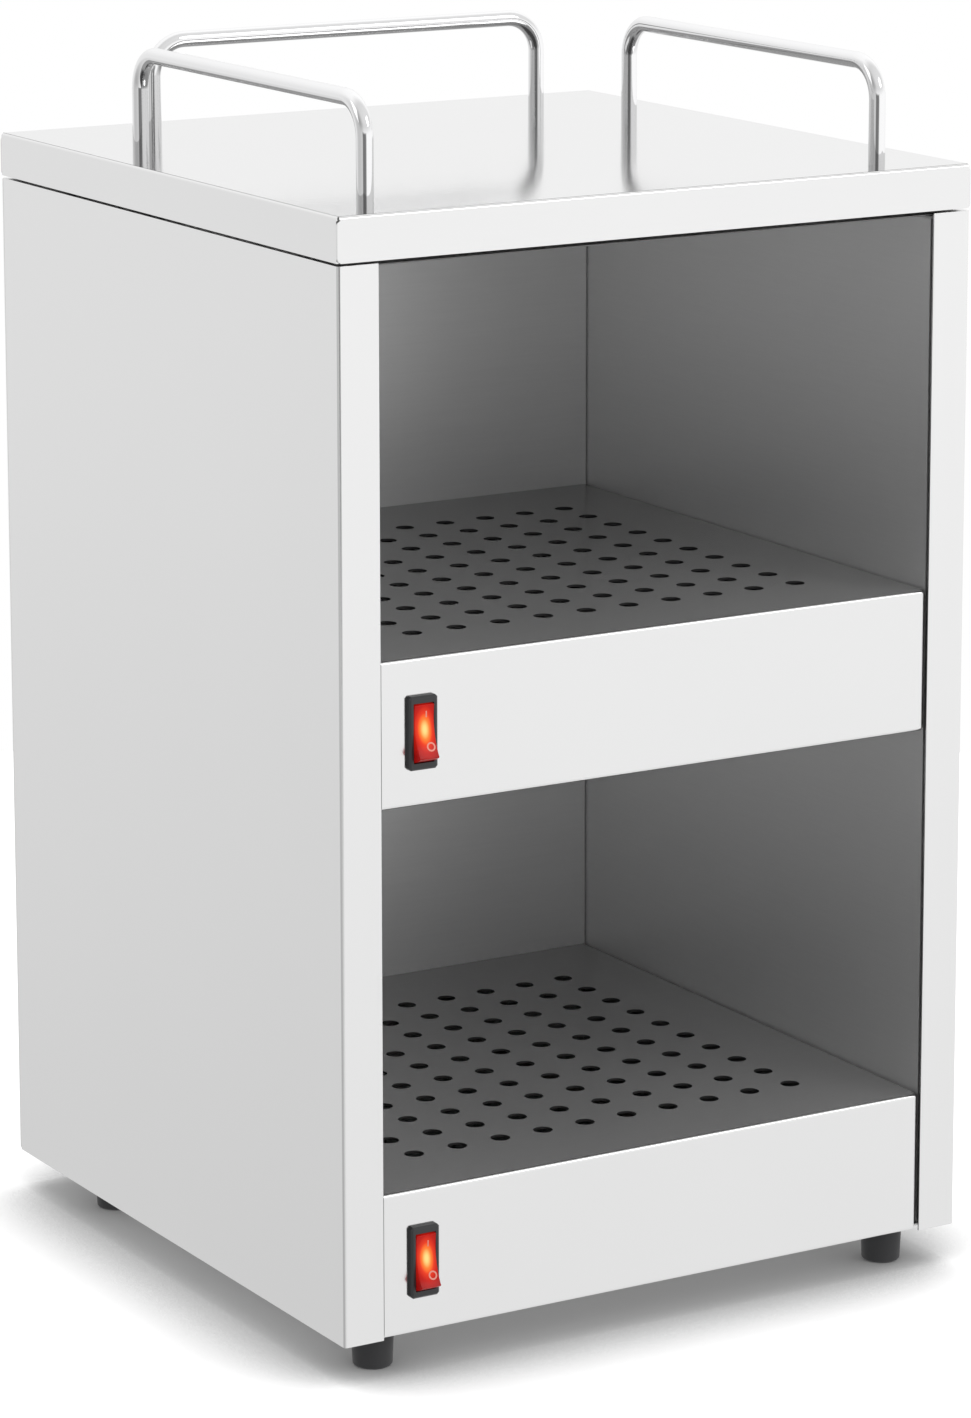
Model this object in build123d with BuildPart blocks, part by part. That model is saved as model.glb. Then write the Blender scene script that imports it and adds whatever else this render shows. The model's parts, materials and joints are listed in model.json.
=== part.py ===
from build123d import *
import os
from math import cos, pi, radians, sin, sqrt

# A two-shelf cup warmer: a folded steel case, open at the front, with two heated perforated
# shelves, a tray lid with three rails for cups, four rubber feet and a lit rocker switch on
# each fascia. Millimetres. X runs to the right, the front faces -Y and Z is up. The origin is
# on the surface that the feet stand on, under the middle of the whole object.

# Case
body_width = 300.0
body_depth = 300.0
sheet = 1.0
bend_radius = 1.0  # of a fold's middle line
fascia_height = 60.5
compartment_height = 159.5
stile_width = 18.2
wall_depth = 16.8  # from the outside of a side to the inside of its liner
back_cavity = 26.4  # from the liner's back wall to the outside of the rear cover
liner_setback = 4.5  # of the liner's front edges behind the stiles
corner_radius = 1.5
case_flange = 14.0
liner_flange = 12.0
cover_inset = 0.5  # of the rear cover inside the case's outline
fit_gap = 0.2  # between sheets that slip past each other
window_width = 60.0
window_height = 20.0
window_drop = 4.0  # of a wire window below a shelf's plate

# Shelf pans
fascia_recess = 2.0
fascia_gap = 1.3  # beside each stile
fascia_flange = 7.0
pan_rear_flange = 12.0
hole_count = 10
hole_pitch = 20.7
hole_radius = 4.1  # to the corners of its sides
hole_sides = 6
hole_front = 42.5  # from the stiles' front to the first row of holes
tab_width = 12.0
tab_count = 3
tab_pitch = 80.0
tab_reach = 2.0  # beyond the liner

# Lid and its rails
lid_gap = 1.0
lid_height = 18.5
lid_relief = 1.5  # cut out of the blank at each corner
lid_corner = 2.0  # of the front and back skirts
rail_radius = 3.5
rail_sides = 12
bend_steps = 4  # straight lengths in each bend of a rod
rail_bend = 15.0
rail_span = 193.0
rail_rise = 40.5  # from the lid to the bar's middle line
side_rail_inset = 28.0
front_leg_inset = 28.0
back_rail_inset = 41.0
stud_radius = 2.5
stud_length = 9.0
stud_hole_gap = 0.15
rail_nut_size = 4.6  # to its corners
rail_nut_height = 4.0
thread_gap = 0.05  # between a screw and its nut
standoff_size = 4.0  # to its corners
standoff_inset = 40.0

# Feet
foot_drop = 17.0  # below the case
foot_top_radius = 9.0
foot_bottom_radius = 8.2
foot_edge = 1.0
foot_side_inset = 24.0
foot_front_inset = 20.0
foot_back_inset = 48.0
foot_sides = 24
counterbore_radius = 4.6
counterbore_sides = 8
counterbore_depth = 11.0

# Screws and studs, whose threads are drawn as plain prisms
shank_sides = 6
head_sides = 6
screw_radius = 2.0
screw_hole_gap = 0.2
screw_head_radius = 3.8
screw_head_height = 2.4
screw_grip = 6.0  # beyond the sheets that it holds
cover_screws_a_side = 3
cover_screw_margin = 40.0
base_screws_a_side = 3
base_screw_margin = 50.0
pan_screw_spread = 180.0
pan_screw_drop = 7.0  # below a shelf's top, through the liner's back wall and the pan's rear flange

# Heating
heater_radius = 3.25
heater_sides = 8
heater_spread = 140.0
heater_bend = 22.0
heater_front = 45.0  # from the stiles' front
heater_lift = 20.0  # above the floor of its module
heater_tail = 12.0  # behind the liner's back wall
heater_pin_radius = 1.6
heater_pin_length = 5.0
heater_gap = 0.25
clip_width = 16.0
clip_foot = 9.0
clip_back = 150.0  # of the rear pair, from the stiles' front
thermostat_radius = 8.0
thermostat_sides = 16
thermostat_height = 7.0
thermostat_ear = 6.0
thermostat_y = 150.0  # from the stiles' front
blade_width = 4.8
blade_thickness = 0.8

# Wiring parts in the back cavity
block_width = 44.0
block_height = 20.0
block_depth = 16.0
block_ways = 3
block_bore = 2.2
block_inset = 90.0  # of its middle from the case's right side
block_z = 110.0  # above the case's lower edge
gland_inset = 40.0  # of its middle from the case's right side
gland_z = 30.0  # above the case's lower edge
gland_sides = 12
gland_thread = 8.0
gland_bore = 5.2
gland_size = 12.5  # to the corners of its hexagons
gland_hex = 5.0
gland_neck = 6.0
gland_neck_radius = 7.5
gland_cap_radius = 9.5
gland_cap_tip = 6.5
gland_cap_length = 13.0
gland_mouth = 4.2
gland_nut_height = 5.0
gland_inside = 9.0  # of its thread, in front of the rear cover
seal_bore = 3.5
seal_gap = 0.1

# Rocker switches
switch_inset = 37.5  # from the case's left side to the switch's middle
bezel_width = 13.2
bezel_height = 30.2
bezel_stand = 2.5
bezel_corner = 1.0
bezel_edge = 0.8
well_width = 9.4
well_height = 24.4
housing_wall = 1.3
housing_depth = 24.0
housing_back = 1.5
cutout_gap = 0.15
snap_rise = 1.0
snap_length = 7.0
snap_width = 6.0
rocker_side_gap = 0.2
rocker_end_gap = 0.3
rocker_throw = 22.0  # degrees, from on to off
rocker_stand = 5.2  # of its ends beyond its pivot, half way through the throw
rocker_hollow = 2.0  # of its concave face
rocker_skirt = 4.0  # behind its pivot
rocker_wall = 1.1
rocker_pin_radius = 1.1
rocker_pin_length = 1.0
rocker_pin_gap = 0.05
boss_radius = 2.2
boss_end = 4.8  # behind the pivot
plunger_radius = 1.2
plunger_sides = 8
plunger_gap = 0.1
plunger_reach = 8.5  # of its tip behind the pivot
plunger_tip = 0.5
plunger_root = 0.5  # of its other end behind the pivot
plunger_play = 0.3  # from its tip to the lever
contact_ratio = 0.5  # of the lever's turn to the rocker's
contact_gap = 0.1  # between the closed contacts
lever_length = 17.0
lever_width = 4.0
lever_thickness = 0.8
lever_rise = 1.5  # of its front face in front of its pivot
lever_button = 1.0
lever_button_height = 0.8
terminal_spread = 8.0
terminal_tail = 8.0
lamp_radius = 1.6
lamp_sides = 8
lamp_place = 6.0  # above the switch's middle
lamp_tip = 0.3  # behind the rocker's pivot
lamp_holder = 0.8
lead_thickness = 0.6
lead_gap = 0.5  # beside the lever

# Levels, from the floor up
body_low = foot_drop
module_height = fascia_height + compartment_height
body_height = 2 * module_height
body_top = body_low + body_height
lid_low = body_top + lid_gap
lid_top = lid_low + lid_height
bar_level = lid_top + rail_rise
levels = {"lower": body_low, "upper": body_low + module_height}

# Places across and along the case
half_width = body_width / 2
liner_x = half_width - wall_depth
rocker_tilt = rocker_throw / 2
rocker_end = well_height / 2 - rocker_end_gap
rocker_tip = sqrt(rocker_end**2 - rocker_stand**2)
tip_reach = rocker_stand * cos(radians(rocker_tilt)) + rocker_tip * sin(radians(rocker_tilt))
front_reach = tip_reach - fascia_recess
back_reach = gland_hex + gland_cap_length
front = -(body_depth + back_reach - front_reach) / 2
back = front + body_depth
cover_front = back - sheet
liner_back = back - back_cavity
liner_end = liner_back + sheet + liner_flange
fascia_front = front + fascia_recess
fascia_back = fascia_front + sheet
pan_back = liner_back - fit_gap
pan_half = liner_x - fit_gap
floor_front = fascia_back + bend_radius - sheet / 2 + fit_gap
switch_x = -half_width + switch_inset
block_x = half_width - block_inset
gland_x = half_width - gland_inset
hole_middle = front + hole_front + hole_pitch * (hole_count - 1) / 2
screw_hole = screw_radius + screw_hole_gap
sides = {"left": -1, "right": 1}


def keep(piece, name):
    """Labels a finished piece and writes it."""
    piece.part.label = name
    export_step(piece.part, f"parts/{name}.step")


def fold(points, plane, length):
    """Adds a folded sheet to the open part: its section's middle line on a plane, and how far it runs."""
    with BuildSketch(plane) as section:
        with BuildLine():
            FilletPolyline(*points, radius=bend_radius)
        trace(line_width=sheet)
    extrude(section.sketch, amount=length)


def block(low, high, mode=Mode.ADD):
    """Adds or cuts a box between two corners in the open part."""
    size = [b - a for a, b in zip(low, high)]
    middle = [(a + b) / 2 for a, b in zip(low, high)]
    with Locations(tuple(middle)):
        Box(*size, mode=mode)


def bore(radius, plane, depth, side_count=shank_sides):
    """Cuts a hole in the open part, down from a plane."""
    with BuildSketch(plane) as hole:
        RegularPolygon(radius, side_count)
    extrude(hole.sketch, amount=-depth, mode=Mode.SUBTRACT)


def prism(radius, plane, length, side_count=shank_sides):
    """Adds a prism to the open part, up from a plane."""
    with BuildSketch(plane) as section:
        RegularPolygon(radius, side_count)
    extrude(section.sketch, amount=length)


def screw(plane, length):
    """Adds a screw to the open part: the head stands on the plane and the shank goes in behind it."""
    prism(screw_head_radius, plane, screw_head_height, head_sides)
    prism(screw_radius, plane, -length)


def nut(plane, size, thread, height):
    """Adds a hexagonal nut or spacer to the open part, up from a plane, with room round its thread."""
    with BuildSketch(plane) as section:
        RegularPolygon(size, 6)
        RegularPolygon(thread + thread_gap, shank_sides, mode=Mode.SUBTRACT)
    extrude(section.sketch, amount=height)


def staple(start, rise, way, height, span, bend, radius, side_count):
    """Adds a rod bent into a U to the open part: it rises from its start, runs across and comes down."""
    start, rise, way = Vector(*start), Vector(*rise), Vector(*way)
    turns = [pi / 2 * step / bend_steps for step in range(bend_steps + 1)]
    out = [bend * (1 - cos(turn)) for turn in turns]
    up = [height - bend + bend * sin(turn) for turn in turns]
    route = [start]
    route += [start + way * x + rise * y for x, y in zip(out, up)]
    route += [start + way * (span - x) + rise * y for x, y in zip(reversed(out), reversed(up))]
    route.append(start + way * span)
    with BuildLine() as middle:
        Polyline(*route)
    with BuildSketch(Plane(origin=start, x_dir=way, z_dir=rise)) as section:
        RegularPolygon(radius, side_count)
    sweep(section.sketch, path=middle.line, transition=Transition.RIGHT)


def level_plane(x, y, z):
    """A plane that looks up."""
    return Plane(origin=(x, y, z), x_dir=(1, 0, 0), z_dir=(0, 0, 1))


def under_plane(x, y, z):
    """A plane that looks down."""
    return Plane(origin=(x, y, z), x_dir=(1, 0, 0), z_dir=(0, 0, -1))


def rear_plane(x, y, z):
    """A plane that looks back, along +Y."""
    return Plane(origin=(x, y, z), x_dir=(-1, 0, 0), z_dir=(0, 1, 0))


def front_plane(x, y, z):
    """A plane that looks forward, along -Y, with X to the right and Z up."""
    return Plane(origin=(x, y, z), x_dir=(1, 0, 0), z_dir=(0, -1, 0))


os.makedirs("parts", exist_ok=True)

# Side panels: each folds round into a front stile, a rear flange and flanges at top and bottom
cover_rows = [
    body_low + cover_screw_margin + step * (body_height - 2 * cover_screw_margin) / (cover_screws_a_side - 1)
    for step in range(cover_screws_a_side)
]
cover_screw_x = half_width - case_flange / 2
cover_places = [(side * cover_screw_x, row) for side in (-1, 1) for row in cover_rows]
base_rows = [
    front + base_screw_margin + step * (body_depth - 2 * base_screw_margin) / (base_screws_a_side - 1)
    for step in range(base_screws_a_side)
]
base_screw_x = half_width - case_flange / 2
base_places = [(side * base_screw_x, row) for side in (-1, 1) for row in base_rows]
for name, side in sides.items():
    wall_x = side * (half_width - sheet / 2)
    flange_x = side * (half_width - case_flange)
    flange_front = front + sheet / 2
    flange_back = cover_front - sheet / 2
    with BuildPart() as side_panel:
        outline = [
            (side * (half_width - stile_width), front + sheet / 2),
            (wall_x, front + sheet / 2),
            (wall_x, cover_front - sheet / 2),
            (flange_x, cover_front - sheet / 2),
        ]
        fold(outline, Plane.XY.offset(body_low), body_height)
        for low in (body_low, body_top - sheet):
            block((min(wall_x, flange_x), flange_front, low), (max(wall_x, flange_x), flange_back, low + sheet))
        with BuildSketch(front_plane(0, cover_front, body_low + body_height / 2)):
            RectangleRounded(body_width, body_height, corner_radius)
        extrude(amount=body_depth, mode=Mode.INTERSECT)
        for x, z in cover_places:
            if x * side > 0:
                bore(screw_hole, rear_plane(x, cover_front, z), sheet)
        for x, y in base_places:
            if x * side > 0:
                bore(screw_hole, level_plane(x, y, body_low + sheet), sheet)
    keep(side_panel, f"side_panel_{name}")

# Base plate, on the side panels' lower flanges
foot_rows = [front + foot_front_inset, back - foot_back_inset]
foot_x = half_width - foot_side_inset
foot_places = {
    f"foot_{row}_{name}": (side * foot_x, y)
    for row, y in zip(("front", "rear"), foot_rows)
    for name, side in sides.items()
}
plate_half = half_width - sheet - cover_inset
plate_back = cover_front - sheet - fit_gap
with BuildPart() as base_plate:
    block((-plate_half, floor_front, body_low + sheet), (plate_half, plate_back, body_low + 2 * sheet))
    for x, y in [*foot_places.values(), *base_places]:
        bore(screw_hole, level_plane(x, y, body_low + 2 * sheet), sheet)
keep(base_plate, "base_plate")

# Liner: two side walls with flanges out over the base plate and under the ceiling, and a back wall
tab_rows = [(liner_back + floor_front) / 2 + tab_pitch * (step - (tab_count - 1) / 2) for step in range(tab_count)]
upper_floor_low = levels["upper"] + sheet
for name, side in sides.items():
    wall_x = side * (liner_x + sheet / 2)
    flange_x = side * (liner_x + sheet / 2 + liner_flange)
    low = body_low + 2.5 * sheet
    high = body_top - 2.5 * sheet
    with BuildPart() as liner_wall:
        section = [(flange_x, low), (wall_x, low), (wall_x, high), (flange_x, high)]
        fold(section, front_plane(0, front + liner_setback, 0), -(liner_end - front - liner_setback))
        for y in tab_rows:
            slot_half = tab_width / 2 + fit_gap
            near = (side * liner_x - sheet, y - slot_half, upper_floor_low)
            far = (side * liner_x + sheet, y + slot_half, upper_floor_low + sheet)
            block(near, far, Mode.SUBTRACT)
        for x, y in base_places:
            if x * side > 0:
                bore(screw_hole, level_plane(x, y, body_low + 3 * sheet), sheet)
    keep(liner_wall, f"liner_{name}")

heater_levels = {module: low + 2 * sheet + heater_lift for module, low in levels.items()}
heater_legs = [-heater_spread / 2, heater_spread / 2]
pan_screw_columns = [-pan_screw_spread / 2, pan_screw_spread / 2]
pan_screw_levels = {module: low + fascia_height - pan_screw_drop for module, low in levels.items()}
with BuildPart() as liner_rear:
    wall_x = liner_x - sheet / 2
    outline = [
        (-wall_x, liner_end),
        (-wall_x, liner_back + sheet / 2),
        (wall_x, liner_back + sheet / 2),
        (wall_x, liner_end),
    ]
    fold(outline, Plane.XY.offset(body_low + 2 * sheet), body_height - 4 * sheet)
    for module, low in levels.items():
        window_top = low + fascia_height - sheet - window_drop
        window_low = (-window_width / 2, liner_back - sheet, window_top - window_height)
        window_high = (window_width / 2, liner_back + 2 * sheet, window_top)
        block(window_low, window_high, Mode.SUBTRACT)
        for x in heater_legs:
            hole_plane = front_plane(x, liner_back, heater_levels[module])
            bore(heater_radius + heater_gap, hole_plane, 2 * sheet, heater_sides)
        for x in pan_screw_columns:
            bore(screw_hole, rear_plane(x, liner_back + sheet, pan_screw_levels[module]), sheet)
keep(liner_rear, "liner_back")

# Ceiling, between the liner's upper flanges and the side panels' upper flanges
standoff_places = [
    (side * (half_width - standoff_inset), y)
    for side in (-1, 1)
    for y in (front + standoff_inset, liner_back - standoff_inset)
]
ceiling_half = liner_x + sheet + liner_flange - fit_gap
with BuildPart() as ceiling_panel:
    ceiling_low = (-ceiling_half, front + liner_setback, body_top - 2 * sheet)
    ceiling_high = (ceiling_half, liner_end, body_top - sheet)
    block(ceiling_low, ceiling_high)
    for x, y in standoff_places:
        bore(screw_hole, level_plane(x, y, body_top - sheet), sheet)
keep(ceiling_panel, "ceiling_panel")

# Rear cover, screwed to the side panels' rear flanges, with the hole for the cable gland
cover_half = half_width - cover_inset
gland_level = body_low + gland_z
with BuildPart() as rear_cover:
    block((-cover_half, cover_front, body_low + cover_inset), (cover_half, back, body_top - cover_inset))
    for x, z in cover_places:
        bore(screw_hole, rear_plane(x, back, z), sheet)
    bore(gland_thread + screw_hole_gap, rear_plane(gland_x, back, gland_level), sheet, gland_sides)
keep(rear_cover, "rear_cover")

# Shelf pans: fascia, perforated plate and sides are one folded sheet, open below
housing_half = (well_width / 2 + housing_wall, well_height / 2 + housing_wall)
for module, low in levels.items():
    top = low + fascia_height
    switch_level = low + fascia_height / 2
    with BuildPart() as shelf_pan:
        section = [
            (fascia_back - sheet / 2 + fascia_flange, low + sheet / 2),
            (fascia_front + sheet / 2, low + sheet / 2),
            (fascia_front + sheet / 2, top - sheet / 2),
            (pan_back - sheet / 2, top - sheet / 2),
            (pan_back - sheet / 2, top - sheet / 2 - pan_rear_flange),
        ]
        fascia_half = half_width - stile_width - fascia_gap
        side_plane = Plane(origin=(-fascia_half, 0, 0), x_dir=(0, 1, 0), z_dir=(1, 0, 0))
        fold(section, side_plane, 2 * fascia_half)
        wing = pan_half - sheet / 2
        wing_section = [(-wing, low + 2 * sheet), (-wing, top - sheet / 2), (wing, top - sheet / 2), (wing, low + 2 * sheet)]
        wing_front = front + liner_setback + fit_gap
        fold(wing_section, front_plane(0, wing_front, 0), -(pan_back - wing_front))
        with BuildSketch(level_plane(0, hole_middle, top)):
            with GridLocations(hole_pitch, hole_pitch, hole_count, hole_count):
                RegularPolygon(hole_radius, hole_sides)
        extrude(amount=-sheet, mode=Mode.SUBTRACT)
        with BuildSketch(front_plane(switch_x, fascia_front, switch_level)):
            Rectangle(2 * (housing_half[0] + cutout_gap), 2 * (housing_half[1] + cutout_gap))
        extrude(amount=-sheet, mode=Mode.SUBTRACT)
        for x in pan_screw_columns:
            bore(screw_hole, rear_plane(x, pan_back, pan_screw_levels[module]), sheet)
    keep(shelf_pan, f"{module}_shelf_pan")

# Floor of the upper module, hung in the liner's slots by its tabs
with BuildPart() as module_floor:
    floor_low = (-pan_half, floor_front, upper_floor_low)
    floor_high = (pan_half, pan_back, upper_floor_low + sheet)
    block(floor_low, floor_high)
    tab_end = liner_x + sheet + tab_reach
    for y in tab_rows:
        tab_low = (-tab_end, y - tab_width / 2, upper_floor_low)
        tab_high = (tab_end, y + tab_width / 2, upper_floor_low + sheet)
        block(tab_low, tab_high)
keep(module_floor, "upper_module_floor")

# Lid: a folded tray. Its front and back skirts run past the ends of its side skirts
rail_feet = {
    "left": [(-half_width + side_rail_inset, front + front_leg_inset), (0, 1)],
    "right": [(half_width - side_rail_inset, front + front_leg_inset), (0, 1)],
    "back": [(-rail_span / 2, back - back_rail_inset), (1, 0)],
}
stud_places = []
for start, way in rail_feet.values():
    stud_places.append(start)
    stud_places.append((start[0] + way[0] * rail_span, start[1] + way[1] * rail_span))
skirt_x = half_width - sheet / 2
skirt_front = front + sheet / 2
skirt_back = back - sheet / 2
plate_level = lid_top - sheet / 2
lid_half = half_width - lid_relief
with BuildPart() as top_tray:
    across = [(-skirt_x, lid_low), (-skirt_x, plate_level), (skirt_x, plate_level), (skirt_x, lid_low)]
    fold(across, front_plane(0, front + lid_relief, 0), 2 * lid_relief - body_depth)
    along = [(skirt_front, lid_low), (skirt_front, plate_level), (skirt_back, plate_level), (skirt_back, lid_low)]
    fold(along, Plane(origin=(-lid_half, 0, 0), x_dir=(0, 1, 0), z_dir=(1, 0, 0)), 2 * lid_half)
    skirt_height = lid_height - lid_relief
    for y in (front, back - sheet):
        with BuildSketch(front_plane(0, y, lid_low + skirt_height / 2)) as skirt:
            Rectangle(body_width, skirt_height)
            fillet(skirt.vertices().group_by(Axis.Z)[0], lid_corner)
        extrude(amount=-sheet)
    for x, y in stud_places:
        bore(stud_radius + stud_hole_gap, level_plane(x, y, lid_top), sheet)
keep(top_tray, "top_tray")

# Rails: one bent rod each, with a threaded stud on each foot
for name, (start, way) in rail_feet.items():
    with BuildPart() as rail:
        staple((*start, lid_top), (0, 0, 1), (*way, 0), rail_rise, rail_span, rail_bend, rail_radius, rail_sides)
        for step in (0, rail_span):
            foot_plane = level_plane(start[0] + way[0] * step, start[1] + way[1] * step, lid_top)
            prism(stud_radius, foot_plane, -stud_length)
    keep(rail, f"rail_{name}")

with BuildPart() as rail_nuts:
    for x, y in stud_places:
        nut(level_plane(x, y, lid_top - sheet), rail_nut_size, stud_radius, -rail_nut_height)
keep(rail_nuts, "rail_nuts")

# Standoffs under the lid, and the screws that hold it from inside the upper compartment
with BuildPart() as lid_standoffs:
    for x, y in standoff_places:
        nut(level_plane(x, y, body_top - sheet), standoff_size, screw_radius, lid_top - body_top)
keep(lid_standoffs, "lid_standoffs")

with BuildPart() as lid_screws:
    for x, y in standoff_places:
        screw(under_plane(x, y, body_top - 2 * sheet), sheet + screw_grip)
keep(lid_screws, "lid_screws")

# Feet, each with its screw up into the base plate
foot_height = foot_drop + sheet
for name, (x, y) in foot_places.items():
    with BuildPart() as foot:
        prism(foot_top_radius, level_plane(x, y, 0), foot_height, foot_sides)
        bottom = foot.faces().sort_by(Axis.Z)[0]
        chamfer(bottom.edges(), foot_top_radius - foot_bottom_radius, foot_drop, reference=bottom)
        chamfer(foot.faces().sort_by(Axis.Z)[0].edges(), foot_edge)
        bore(screw_hole, level_plane(x, y, foot_height), foot_height)
        bore(counterbore_radius, under_plane(x, y, 0), counterbore_depth, counterbore_sides)
    keep(foot, name)

with BuildPart() as foot_screws:
    for x, y in foot_places.values():
        screw(under_plane(x, y, counterbore_depth), foot_height - counterbore_depth + sheet + screw_grip)
keep(foot_screws, "foot_screws")

with BuildPart() as foot_nuts:
    for x, y in foot_places.values():
        nut(level_plane(x, y, body_low + 2 * sheet), standoff_size, screw_radius, rail_nut_height)
keep(foot_nuts, "foot_nuts")

# Screws of the base, the pans and the rear cover
with BuildPart() as base_screws:
    for x, y in base_places:
        screw(under_plane(x, y, body_low), 2 * sheet + screw_grip)
keep(base_screws, "base_screws")

for module, level in pan_screw_levels.items():
    with BuildPart() as pan_screws:
        for x in pan_screw_columns:
            screw(rear_plane(x, liner_back + sheet, level), 2 * sheet + screw_grip)
    keep(pan_screws, f"{module}_pan_screws")

with BuildPart() as cover_screws:
    for x, z in cover_places:
        screw(rear_plane(x, back, z), 2 * sheet + screw_grip)
keep(cover_screws, "rear_cover_screws")

# Heaters: a bent tubular element in each module, on clips, with its ends behind the liner
heater_reach = liner_back + heater_tail - front - heater_front
for module, low in levels.items():
    level = heater_levels[module]
    floor_top = low + 2 * sheet
    tail = liner_back + heater_tail
    with BuildPart() as heater:
        start = (heater_legs[0], tail, level)
        staple(start, (0, -1, 0), (1, 0, 0), heater_reach, heater_spread, heater_bend, heater_radius, heater_sides)
        for x in heater_legs:
            prism(heater_pin_radius, rear_plane(x, tail, level), heater_pin_length)
    keep(heater, f"{module}_heater")

    with BuildPart() as heater_clips:
        for x in heater_legs:
            clip_y = front + clip_back
            rise = heater_lift + heater_radius + 2 * sheet
            side_plane = Plane(origin=(x - clip_width / 2, clip_y, floor_top), x_dir=(0, 1, 0), z_dir=(1, 0, 0))
            fold([(clip_foot, sheet / 2), (0, sheet / 2), (0, rise)], side_plane, clip_width)
            bore(heater_radius + heater_gap, front_plane(x, clip_y - sheet, level), 2 * sheet, heater_sides)
    keep(heater_clips, f"{module}_heater_clips")

    with BuildPart() as thermostat:
        place = level_plane(0, front + thermostat_y, floor_top)
        with BuildSketch(place):
            Rectangle(2 * (thermostat_radius + thermostat_ear), thermostat_radius)
        extrude(amount=sheet)
        prism(thermostat_radius, place, thermostat_height, thermostat_sides)
        for way in (-1, 1):
            blade_x = way * thermostat_radius / 2
            blade_y = front + thermostat_y
            blade_low = (blade_x - blade_thickness / 2, blade_y - blade_width / 2, floor_top + thermostat_height)
            blade_high = (
                blade_x + blade_thickness / 2,
                blade_y + blade_width / 2,
                floor_top + thermostat_height + terminal_tail,
            )
            block(blade_low, blade_high)
    keep(thermostat, f"{module}_thermostat")

# Terminal block on the liner's back wall
with BuildPart() as terminal_block:
    wall = liner_back + sheet
    block_level = body_low + block_z
    block_low = (block_x - block_width / 2, wall, block_level - block_height / 2)
    block_high = (block_x + block_width / 2, wall + block_depth, block_level + block_height / 2)
    block(block_low, block_high)
    way_pitch = block_width / block_ways
    for step in range(block_ways):
        way_x = block_x + way_pitch * (step - (block_ways - 1) / 2)
        mouth = level_plane(way_x, wall + block_depth / 2, block_level + block_height / 2)
        bore(block_bore, mouth, block_height)
keep(terminal_block, "terminal_block")

# Cable gland through the rear cover: body, locknut inside, cap outside and a rubber seal
gland_place = rear_plane(gland_x, back, gland_level)
neck_end = gland_hex + gland_neck
cap_end = gland_hex + gland_cap_length
with BuildPart() as gland_body:
    prism(gland_size, gland_place, gland_hex, 6)
    prism(gland_thread, gland_place, -(sheet + gland_inside), gland_sides)
    prism(gland_neck_radius, gland_place.offset(gland_hex), gland_neck, gland_sides)
    bore(gland_bore, gland_place.offset(neck_end), neck_end + sheet + gland_inside, gland_sides)
keep(gland_body, "gland_body")

with BuildPart() as gland_locknut:
    with BuildSketch(rear_plane(gland_x, cover_front, gland_level)):
        RegularPolygon(gland_size, 6)
        RegularPolygon(gland_thread + thread_gap, gland_sides, mode=Mode.SUBTRACT)
    extrude(amount=-gland_nut_height)
keep(gland_locknut, "gland_locknut")

with BuildPart() as gland_cap:
    prism(gland_cap_radius, gland_place.offset(gland_hex), gland_cap_length, gland_sides)
    tip = gland_cap.faces().sort_by(Axis.Y)[-1]
    chamfer(tip.edges(), gland_cap_radius - gland_cap_tip, cap_end - neck_end, reference=tip)
    bore(gland_neck_radius + thread_gap, gland_place.offset(neck_end), gland_neck, gland_sides)
    bore(gland_mouth, gland_place.offset(cap_end), gland_cap_length, gland_sides)
keep(gland_cap, "gland_cap")

with BuildPart() as gland_seal:
    with BuildSketch(gland_place.offset(neck_end)):
        RegularPolygon(gland_bore - seal_gap, gland_sides)
        Circle(seal_bore, mode=Mode.SUBTRACT)
    extrude(amount=-neck_end)
keep(gland_seal, "gland_seal")

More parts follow.
